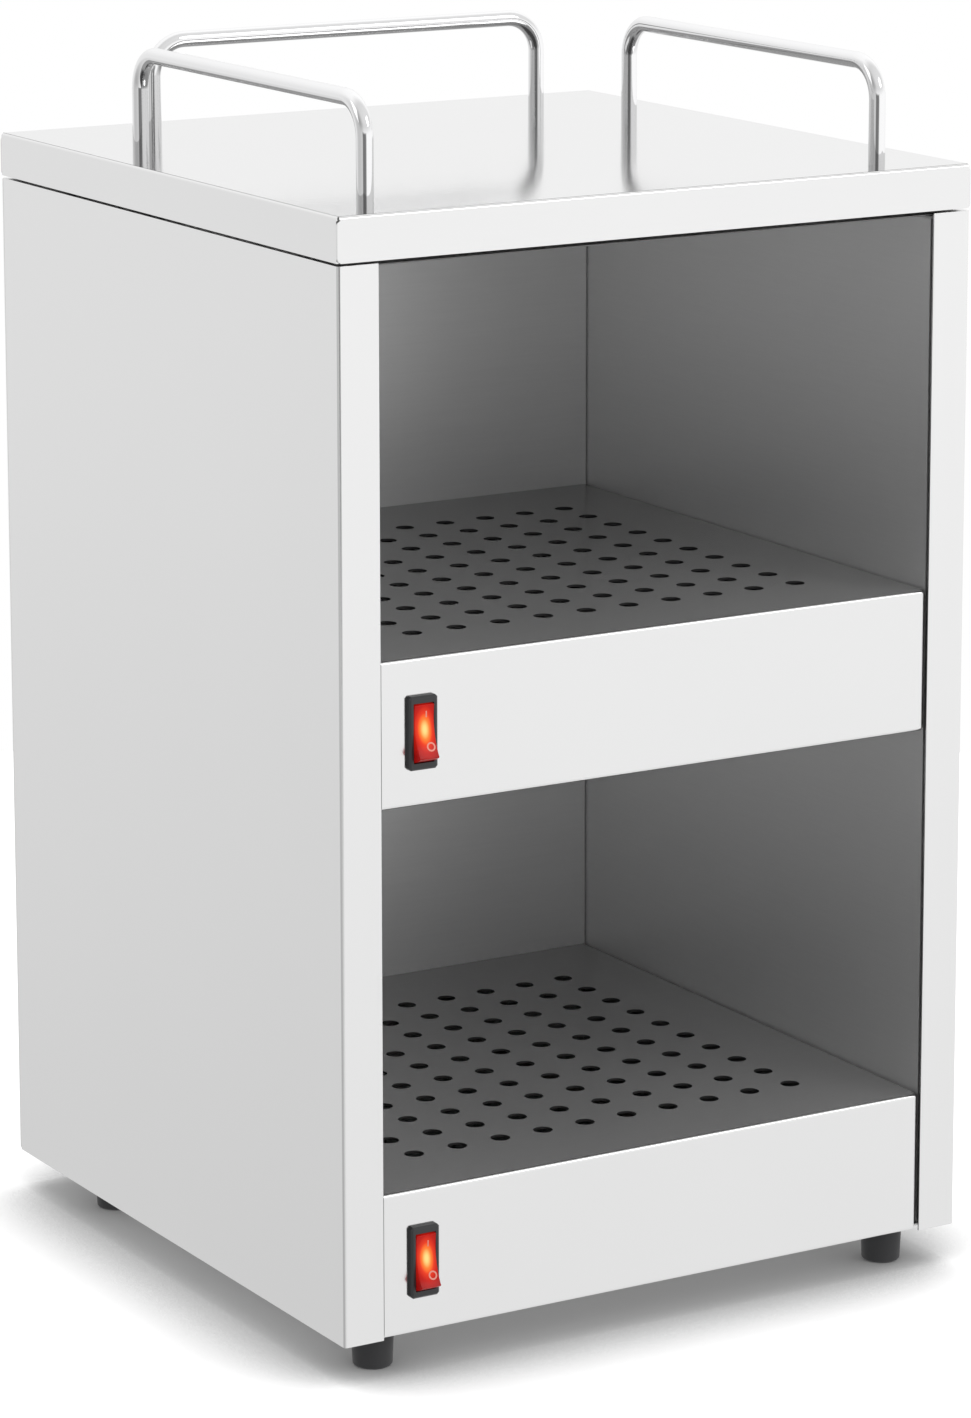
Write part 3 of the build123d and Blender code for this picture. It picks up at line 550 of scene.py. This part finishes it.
def apply_modifier(shape, kind, **values):
    """Adds a modifier with these values and applies it."""
    pick(shape)
    modifier = shape.modifiers.new(kind.lower(), kind)
    for name, value in values.items():
        setattr(modifier, name, value)
    bpy.ops.object.modifier_apply(modifier=modifier.name)


def cut_away(shape, tool):
    """Cuts one object out of another with a Boolean modifier, and deletes the tool."""
    apply_modifier(shape, "BOOLEAN", operation="DIFFERENCE", solver="EXACT", object=tool)
    bpy.data.objects.remove(tool)


def dress(shape, name, body, slot, material=None, replaced=(), smooth=35):
    """Names a finished piece, shades it, and lets it ride on a body in place of frame nodes."""
    pick(shape)
    bpy.ops.object.transform_apply(location=True, rotation=True, scale=True)
    bpy.ops.object.shade_smooth_by_angle(angle=radians(smooth))
    apply_modifier(shape, "WEIGHTED_NORMAL", mode="FACE_AREA", weight=100, keep_sharp=True)
    shape.name = name
    shape.data.name = name
    shape.data.materials.clear()
    shape.data.materials.append(material or finishes[slot])
    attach(shape, body)
    if replaced:
        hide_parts(*replaced)
    return shape


# %% [markdown]
# ## Soft sheet edges
#
# A cut edge of steel sheet is never razor sharp: it is deburred, and the small round catches a
# thin line of light. The frame's sheets have sharp edges, so each visible one is copied, its
# loose triangles are merged and dissolved into whole faces, and a Bevel modifier rounds what is
# left. The new piece then stands for the node.

# %% Copies of frame nodes with soft edges
flat_angle = radians(0.6)
edge_angle = radians(30)


def whole_copy(node):
    """A copy of a frame node with its triangles merged into whole faces. It is left picked."""
    source = frame["nodes"][node]
    shape = bpy.data.objects.new(f"{node}_work", source.data.copy())
    bpy.context.scene.collection.objects.link(shape)
    pick(shape)
    bpy.ops.object.mode_set(mode="EDIT")
    bpy.ops.mesh.select_all(action="SELECT")
    bpy.ops.mesh.remove_doubles(threshold=merge_distance)
    bpy.ops.mesh.dissolve_limited(angle_limit=flat_angle)
    bpy.ops.object.mode_set(mode="OBJECT")
    bpy.ops.mesh.customdata_custom_splitnormals_clear()
    return shape


def soften(shape, width, segments=2):
    """Rounds every sharp edge."""
    apply_modifier(shape, "BEVEL", width=width, segments=segments, limit_method="ANGLE",
                   angle_limit=edge_angle, use_clamp_overlap=True)


def soft_node(node, width, segments=2, smooth=35):
    """A softened copy of a node of the case, which then stands for it."""
    shape = whole_copy(node)
    soften(shape, width, segments)
    return dress(shape, f"{node}_skin", "case", node_slots[node], replaced=[node], smooth=smooth)


# %% Skins of the sheets
sheet = 0.001
sheet_edge = 0.00018

for node in ("side_panel_left", "side_panel_right", "rear_cover", "liner_left", "liner_right",
             "liner_back", "base_plate"):
    skin = soft_node(node, sheet_edge)
    print(node, "faces", len(skin.data.polygons))

# %% [markdown]
# The front edge of the ceiling is cut at a slant, as a shear leaves it. The vertices of its
# lower rim are moved back, so no bright line shows between the lid and the compartment.

# %% Ceiling
slant = 0.003
ceiling_low, ceiling_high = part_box("ceiling_panel")
ceiling = whole_copy("ceiling_panel")
bpy.ops.object.mode_set(mode="EDIT")
moved = select_where(ceiling, "verts", lambda v: v.co.y < ceiling_low.y + near
                     and v.co.z < ceiling_high.z - near)
bpy.ops.transform.translate(value=(0, slant, 0))
bpy.ops.object.mode_set(mode="OBJECT")
dress(ceiling, "ceiling_skin", "case", node_slots["ceiling_panel"], replaced=["ceiling_panel"])
print("ceiling: points moved", moved)

# %% [markdown]
# ## The lid
#
# The lid is a tray folded from one blank. Its corners are pressed shut, so the end of a side
# skirt lies tight behind the front skirt and only a hair line shows, with a tiny notch on top
# where the folds meet. The frame leaves wider openings there. The points round each opening are
# selected by their place and moved to narrow it.

# %% Lid
corner_cut = 0.0015
skirt_gap = 0.0005
seam = 0.00006
cut_left = 0.0010
lid_low, lid_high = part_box("top_tray")
cut_top = lid_high.z - corner_cut - near
cut_x = lid_high.x - corner_cut
lid = whole_copy("top_tray")
bpy.ops.object.mode_set(mode="EDIT")
for way, edge in ((-1, lid_low.y), (1, lid_high.y)):
    cut_y = edge - way * corner_cut
    moved = select_where(lid, "verts", lambda v: abs(v.co.y - cut_y) < near
                         and abs(v.co.x) > cut_x - near)
    bpy.ops.transform.translate(value=(0, way * (skirt_gap - seam), 0))
    for side in (-1, 1):
        moved += select_where(lid, "verts", lambda v: abs(v.co.x - side * cut_x) < near
                              and abs(v.co.y - edge) < corner_cut and v.co.z > cut_top)
        bpy.ops.transform.translate(value=(side * (corner_cut - cut_left), 0, 0))
    print("lid: corner points moved", moved)
bpy.ops.object.mode_set(mode="OBJECT")
soften(lid, sheet_edge)
dress(lid, "lid_skin", "case", "case_steel", lid_steel, replaced=["top_tray"])
print("lid: faces", len(lid.data.polygons))

# %% [markdown]
# ## Perforated shelves
#
# A shelf is one folded sheet with a hundred punched holes. The frame has six-sided holes. A
# cylinder is added over the first hole, two Array modifiers repeat it over the grid, and a
# Boolean modifier cuts them all out of a copy of the sheet. The edges are softened last, which
# gives each hole the rolled rim that a punch leaves. The plate behind the fascia takes a darker
# copy of the case steel, painted shade for the inside of the compartment, and the walls of the
# holes are painted near black, as the shade inside them.

# %% Shelf pans
hole_pitch = 0.0207
hole_count = 10
hole_radius = 0.00414
hole_sides = 28
first_hole = (-0.09315, -0.1139266)
field_half = hole_count * hole_pitch / 2
plain_border = 0.01
fascia_edge = 0.0012


def hole_punch(middle):
    """Cylinders over all the holes of a shelf."""
    bpy.ops.object.select_all(action="DESELECT")
    bpy.ops.mesh.primitive_cylinder_add(vertices=hole_sides, radius=hole_radius, depth=4 * sheet,
                                        location=(*first_hole, middle))
    punch = bpy.context.object
    for axis in range(2):
        offset = [0.0, 0.0, 0.0]
        offset[axis] = hole_pitch
        apply_modifier(punch, "ARRAY", count=hole_count, use_relative_offset=False,
                       use_constant_offset=True, constant_offset_displace=offset)
    return punch


def shelf_pan(module):
    """A folded shelf pan with round holes."""
    node = f"{module}_shelf_pan"
    low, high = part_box(node)
    shelf_start = low.y + fascia_edge
    shape = whole_copy(node)
    cut_away(shape, hole_punch(high.z - sheet / 2))
    soften(shape, sheet_edge)
    dress(shape, f"{module}_shelf", "case", "case_steel", replaced=[node])

    def is_shaded_plate(face):
        """A face behind the front of the fascia."""
        return face.calc_center_median().y > shelf_start

    def is_shaded_hole_wall(face):
        """An upright face in the perforated field."""
        spot = face.calc_center_median()
        in_depth = shelf_start + plain_border < spot.y < high.y - plain_border
        in_width = abs(spot.x) < field_half
        return in_depth and in_width and spot.z > high.z - sheet and abs(face.normal.z) < 0.1

    bpy.ops.object.mode_set(mode="EDIT")
    # The plate behind the fascia takes the darker copy of the steel, which is painted shade. The walls of
    # the holes take the near-black painted shade.
    for material, test in ((shaded_shelf_steel, is_shaded_plate), (painted_hole_shade, is_shaded_hole_wall)):
        shape.data.materials.append(material)
        shape.active_material_index = len(shape.data.materials) - 1
        chosen = select_where(shape, "faces", test)
        bpy.ops.object.material_slot_assign()
        print(node, material.name, "faces", chosen)
    bpy.ops.object.mode_set(mode="OBJECT")
    return shape


for module in ("lower", "upper"):
    pan = shelf_pan(module)
    print(module, "shelf: faces", len(pan.data.polygons))

# %% [markdown]
# ## Rails
#
# Each rail is one chromed rod, bent at two corners and fixed through the lid. It starts as a
# circle on the lid, which is extruded up, spun round the first bend, extruded across, spun round
# the second bend and extruded down. Under the lid each end is inset to a stud.

# %% Rails
rod_radius = 0.0035
rod_sides = 32
rod_bend = 0.015
bend_steps = 10
stud_radius = 0.0025
lid_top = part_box("top_tray")[1].z


def rail(name, way):
    """A bent rod from a foot at its box's low corner. way is the unit vector of its bar."""
    low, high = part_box(f"rail_{name}")
    way = Vector(way)
    start = Vector((low.x + rod_radius, low.y + rod_radius, lid_top))
    span = (high - low).dot(way) - 2 * rod_radius
    upright = high.z - rod_radius - lid_top - rod_bend
    bar = span - 2 * rod_bend
    hinge = way.cross(Vector((0, 0, 1)))
    bpy.ops.object.select_all(action="DESELECT")
    bpy.ops.mesh.primitive_circle_add(vertices=rod_sides, radius=rod_radius, location=start)
    rod = bpy.context.object
    bpy.ops.object.transform_apply(location=True)
    bpy.ops.object.mode_set(mode="EDIT")
    bpy.ops.mesh.select_mode(type="EDGE")
    bpy.ops.mesh.select_all(action="SELECT")
    extrude_by((0, 0, upright))
    first_centre = start + way * rod_bend + Vector((0, 0, upright))
    bpy.ops.mesh.spin(steps=bend_steps, angle=pi / 2, center=first_centre, axis=hinge)
    extrude_by(way * bar)
    second_centre = first_centre + way * bar
    bpy.ops.mesh.spin(steps=bend_steps, angle=pi / 2, center=second_centre, axis=hinge)
    extrude_by((0, 0, -upright))
    for foot in (start, start + way * span):
        select_where(rod, "edges", lambda edge: edge.is_boundary and all(
            abs(v.co.z - lid_top) < near and (v.co - foot).length < 2 * rod_radius for v in edge.verts))
        bpy.ops.mesh.edge_face_add()
        bpy.ops.mesh.select_mode(type="FACE")
        bpy.ops.mesh.inset(thickness=rod_radius - stud_radius)
        extrude_by((0, 0, low.z - lid_top))
    bpy.ops.mesh.select_all(action="SELECT")
    bpy.ops.mesh.remove_doubles(threshold=merge_distance)
    normals_outward()
    bpy.ops.object.mode_set(mode="OBJECT")
    return dress(rod, f"{name}_rail", "case", "rail_chrome", replaced=[f"rail_{name}"], smooth=50)


for name, way in {"left": (0, 1, 0), "right": (0, 1, 0), "back": (1, 0, 0)}.items():
    rod = rail(name, way)
    rod_top = max(v.co.z for v in rod.data.vertices)
    print(name, "rail: faces", len(rod.data.polygons), "top", round(rod_top, 4))

# %% [markdown]
# ## Feet
#
# A foot is a moulded rubber bumper: a short taper with a rounded lower rim and a deep hole from
# below for its screw. A cylinder is added at the foot's size, its lower face is scaled in for
# the taper, its rim is bevelled, and the hole is inset and extruded up into it.

# %% Feet
foot_sides = 48
foot_taper = 8.2 / 9.0
foot_rim = 0.0012
foot_hole = 0.0046
foot_hole_rim = 0.0004
foot_hole_depth = 0.011


def rubber_foot(node):
    """A round rubber foot in the box of its node."""
    low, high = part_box(node)
    centre = (low + high) / 2
    radius = (high.x - low.x) / 2
    bpy.ops.object.select_all(action="DESELECT")
    bpy.ops.mesh.primitive_cylinder_add(vertices=foot_sides, radius=radius, depth=high.z - low.z,
                                        location=centre)
    foot = bpy.context.object
    bpy.ops.object.transform_apply(location=True)
    bpy.ops.object.mode_set(mode="EDIT")
    select_where(foot, "faces", lambda face: face.normal.z < -0.9)
    bpy.ops.transform.resize(value=(foot_taper, foot_taper, 1))
    bpy.ops.mesh.bevel(offset=foot_rim, segments=4, profile=0.5, affect="EDGES")
    select_where(foot, "faces", lambda face: face.normal.z < -0.99 and len(face.verts) == foot_sides)
    bpy.ops.mesh.inset(thickness=radius * foot_taper - foot_rim - foot_hole)
    extrude_by((0, 0, foot_hole_depth))

    def at_mouth(vertex):
        """A vertex on the edge between the hole and the sole."""
        aside = hypot(vertex.co.x - centre.x, vertex.co.y - centre.y)
        return abs(vertex.co.z - low.z) < near and abs(aside - foot_hole) < foot_hole_rim

    select_where(foot, "edges", lambda edge: all(at_mouth(v) for v in edge.verts))
    bpy.ops.mesh.bevel(offset=foot_hole_rim, segments=2, affect="EDGES")
    bpy.ops.object.mode_set(mode="OBJECT")
    return dress(foot, f"{node}_rubber", "case", "foot_rubber", replaced=[node], smooth=40)


for node in sorted(n for n in frame["nodes"] if n.startswith("foot_") and node_slots[n] == "foot_rubber"):
    foot = rubber_foot(node)
    print(node, "faces", len(foot.data.polygons))

# %% [markdown]
# ## Switches
#
# The bezel and the rocker are moulded plastic, so their edges are round. Copies of the frame's
# pieces get wider bevels than the sheet. The lamp shines a little above the middle.

# %% Bezels and rockers
switch_x = -0.1125
lamp_y = -0.1585
lamp_rise = 0.0019
bezel_edge = 0.00035
lens_edge = 0.0003
lenses = {}

for module in ("lower", "upper"):
    soft_node(f"{module}_switch_housing", bezel_edge, segments=3, smooth=50)
    node = f"{module}_switch_rocker"
    housing_low, housing_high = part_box(f"{module}_switch_housing")
    level = (housing_low.z + housing_high.z) / 2
    glow_finish = rocker_finish(f"{module}_rocker_glow", (switch_x, lamp_y, level + lamp_rise))
    lens = whole_copy(node)
    soften(lens, lens_edge, 3)
    dress(lens, f"{module}_rocker_lens", f"{module}_rocker", "switch_rocker",
          material=glow_finish, replaced=[node], smooth=40)
    lenses[module] = (lens, level)
    print(module, "switch at level", round(level, 4))

# %% [markdown]
# The marks are a bar for on, at the end that is pressed in, and a ring for off, at the end that
# stands out. Both are printed on the concave face: a flat outline is laid on it with a
# Shrinkwrap modifier and gets the thickness of ink. They ride with the rocker.

# %% Marks on the rockers
bar_aside = 0.0009
bar_rise = 0.0077
bar_height = 0.0026
bar_pieces = 6
ring_aside = 0.0018
ring_drop = 0.0053
ring_radius = 0.00175
ring_sides = 32
ring_width = 1.1
mark_start = 0.001
mark_line = 0.0006
mark_lift = 0.00004
mark_thickness = 0.00005


def ring_outline(x, y, z):
    """A flat ring that faces the front."""
    bpy.ops.object.select_all(action="DESELECT")
    bpy.ops.mesh.primitive_circle_add(vertices=ring_sides, radius=ring_radius, fill_type="NGON",
                                      rotation=(pi / 2, 0, 0), location=(x, y, z))
    bpy.ops.object.mode_set(mode="EDIT")
    bpy.ops.mesh.select_all(action="SELECT")
    bpy.ops.mesh.inset(thickness=mark_line)
    bpy.ops.mesh.delete(type="FACE")
    bpy.ops.object.mode_set(mode="OBJECT")
    bpy.ops.transform.resize(value=(ring_width, 1.0, 1.0))
    return bpy.context.object


def bar_outline(x, y, z):
    """A flat upright bar that faces the front."""
    bpy.ops.object.select_all(action="DESELECT")
    bpy.ops.mesh.primitive_grid_add(x_subdivisions=1, y_subdivisions=bar_pieces, size=1.0,
                                    rotation=(pi / 2, 0, 0), location=(x, y, z))
    bpy.ops.transform.resize(value=(mark_line, 1.0, bar_height))
    return bpy.context.object


def print_mark(mark, name, lens, module):
    """Lays a flat outline on the lens's face and gives it the thickness of ink."""
    pick(mark)
    bpy.ops.object.transform_apply(location=True, rotation=True, scale=True)
    apply_modifier(mark, "SHRINKWRAP", target=lens, wrap_method="PROJECT", use_project_y=True,
                   use_negative_direction=False, use_positive_direction=True, offset=mark_lift)
    apply_modifier(mark, "SOLIDIFY", thickness=mark_thickness, offset=0.0)
    bpy.ops.object.mode_set(mode="EDIT")
    normals_outward()
    bpy.ops.object.mode_set(mode="OBJECT")
    dress(mark, f"{module}_{name}", f"{module}_rocker", "switch_rocker", material=mark_paint)


for module, (lens, level) in lenses.items():
    ahead_of_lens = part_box(f"{module}_switch_rocker")[0].y - mark_start
    ring = ring_outline(switch_x + ring_aside, ahead_of_lens, level - ring_drop)
    print_mark(ring, "off_ring", lens, module)
    bar = bar_outline(switch_x + bar_aside, ahead_of_lens, level + bar_rise)
    print_mark(bar, "on_bar", lens, module)
    print(module, "marks: ring", len(ring.data.polygons), "bar", len(bar.data.polygons))

# %% [markdown]
# ## Screws
#
# The case is held by small pan-head screws with a cross recess. One screw is modelled at the
# origin: a cylinder whose top rim is bevelled, a smaller cylinder for its shank, and two crossed
# bars with tapered ends that a Boolean modifier cuts out of the head. Copies of it, each with its
# own mesh, are turned to their places and joined into one piece for each row of screws.

# %% One screw
head_radius = 0.0038
head_height = 0.0024
head_round = 0.55 * head_height
shank_radius = 0.0020
shank_sides = 16
shank_rim = 0.0005
recess_length = 0.0042
recess_width = 0.0009
recess_depth = 0.0013
recess_taper = 0.45


def cylinder(radius, depth, middle, sides=32):
    """A cylinder on Z, added with nothing else selected."""
    bpy.ops.object.select_all(action="DESELECT")
    bpy.ops.mesh.primitive_cylinder_add(vertices=sides, radius=radius, depth=depth, location=middle)
    bpy.ops.object.transform_apply(location=True)
    return bpy.context.object


def cross_bar(turn):
    """One bar of the cross recess, narrower at its bottom."""
    bpy.ops.object.select_all(action="DESELECT")
    bpy.ops.mesh.primitive_cube_add(size=1.0, location=(0, 0, head_height))
    bar = bpy.context.object
    bpy.ops.transform.resize(value=(recess_length, recess_width, 2 * recess_depth))
    bpy.ops.object.transform_apply(location=True, scale=True)
    bpy.ops.object.mode_set(mode="EDIT")
    select_where(bar, "faces", lambda face: face.normal.z < -0.9)
    bpy.ops.transform.resize(value=(recess_taper, recess_taper, 1))
    bpy.ops.object.mode_set(mode="OBJECT")
    bar.rotation_euler.z = turn
    bpy.ops.object.transform_apply(rotation=True)
    return bar


def one_screw(grip):
    """A pan-head screw: its head stands on the origin and its shank goes down by grip."""
    head = cylinder(head_radius, head_height, (0, 0, head_height / 2))
    bpy.ops.object.mode_set(mode="EDIT")
    select_where(head, "edges", lambda edge: all(v.co.z > head_height - near for v in edge.verts))
    bpy.ops.mesh.bevel(offset=head_round, segments=5, profile=0.5, affect="EDGES")
    bpy.ops.object.mode_set(mode="OBJECT")
    for turn in (0.0, pi / 2):
        cut_away(head, cross_bar(turn))
    shank = cylinder(shank_radius, grip, (0, 0, -grip / 2), shank_sides)
    bpy.ops.object.mode_set(mode="EDIT")
    select_where(shank, "edges", lambda edge: all(v.co.z < near - grip for v in edge.verts))
    bpy.ops.mesh.bevel(offset=shank_rim, segments=1, affect="EDGES")
    bpy.ops.object.mode_set(mode="OBJECT")
    pick(head)
    shank.select_set(True)
    bpy.ops.object.join()
    return head


# %% Rows of screws
turn_step = 0.7


def solid_boxes(node):
    """The low and high corners of each separate solid of a frame node."""
    whole_copy(node)
    bpy.ops.mesh.separate(type="LOOSE")
    boxes = []
    for piece in list(bpy.context.selected_objects):
        points = [v.co.copy() for v in piece.data.vertices]
        boxes.append((Vector(map(min, zip(*points))), Vector(map(max, zip(*points)))))
        bpy.data.objects.remove(piece)
    return boxes


def screw_row(node, axis, way):
    """Screws in place of a node's plain ones. Their heads look along way on the axis."""
    boxes = solid_boxes(node)
    grip = (boxes[0][1] - boxes[0][0])[axis] - head_height
    first = one_screw(grip)
    facing = Vector((0, 0, 0))
    facing[axis] = way
    copies = []
    for number, (low, high) in enumerate(boxes):
        spot = (low + high) / 2
        spot[axis] = high[axis] - head_height if way > 0 else low[axis] + head_height
        copy = bpy.data.objects.new(f"{node}_{number}", first.data.copy())
        bpy.context.scene.collection.objects.link(copy)
        spun = Matrix.Rotation(turn_step * number, 3, "Z").to_quaternion()
        turned = facing.to_track_quat("Z", "Y") @ spun
        copy.matrix_world = Matrix.Translation(spot) @ turned.to_matrix().to_4x4()
        copies.append(copy)
    bpy.data.objects.remove(first)
    pick(copies[0])
    for copy in copies:
        copy.select_set(True)
    bpy.ops.object.transform_apply(location=True, rotation=True)
    bpy.ops.object.join()
    dress(copies[0], f"{node}_row", "case", "fastener_zinc", replaced=[node], smooth=30)
    print(node, "screws", len(boxes), "grip", round(grip, 4))


for node, axis, way in (("rear_cover_screws", 1, 1), ("base_screws", 2, -1), ("lid_screws", 2, -1),
                        ("foot_screws", 2, -1)):
    screw_row(node, axis, way)

# %% [markdown]
# ## Cable gland
#
# The gland is turned and moulded nylon: a hexagon against the cover, and a round cap with grip
# ribs and a domed end. One in three of the cap's side faces is inset and pushed in, which leaves
# ribs between the grooves. The end face is extruded and scaled to the dome's outline, and its
# mouth is inset and extruded back in.

# %% Gland
gland_edge = 0.0004
cap_sides = 48
cap_straight = 0.0075
cap_mouth = 0.0042
mouth_depth = 0.006
groove_step = 3
groove_border = 0.0003
groove_depth = 0.0006
dome = ((0.0018, 0.96), (0.0018, 0.88), (0.0019, 0.74))


def is_groove(face):
    """A side face of the cap that is pressed in: one in three, counted round the axis."""
    spot = face.calc_center_median()
    number = round(atan2(spot.y, spot.x) * cap_sides / (2 * pi) - 0.5)
    return abs(face.normal.z) < 0.5 and number % groove_step == 0


soft_node("gland_body", gland_edge, smooth=40)
cap_low, cap_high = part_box("gland_cap")
cap_middle = (cap_low + cap_high) / 2
cap_radius = (cap_high.x - cap_low.x) / 2
cap = cylinder(cap_radius, cap_straight, (0, 0, cap_straight / 2), cap_sides)
bpy.ops.object.mode_set(mode="EDIT")
grooves = select_where(cap, "faces", is_groove)
bpy.ops.mesh.inset(thickness=groove_border, use_individual=True)
bpy.ops.transform.shrink_fatten(value=-groove_depth)
select_where(cap, "faces", lambda face: face.normal.z > 0.9)
share_now = 1.0
for step, share in dome:
    extrude_by((0, 0, step))
    bpy.ops.transform.resize(value=(share / share_now, share / share_now, 1))
    share_now = share
bpy.ops.mesh.inset(thickness=cap_radius * share_now - cap_mouth)
extrude_by((0, 0, -mouth_depth))
bpy.ops.object.mode_set(mode="OBJECT")
facing_back = Vector((0, 1, 0)).to_track_quat("Z", "X").to_matrix().to_4x4()
cap.matrix_world = Matrix.Translation((cap_middle.x, cap_low.y, cap_middle.z)) @ facing_back
dress(cap, "gland_cap_ribbed", "case", "gland_nylon", replaced=["gland_cap"], smooth=30)
print("gland: grooves", grooves, "box", [round(v, 4) for v in cap_high - cap_low])
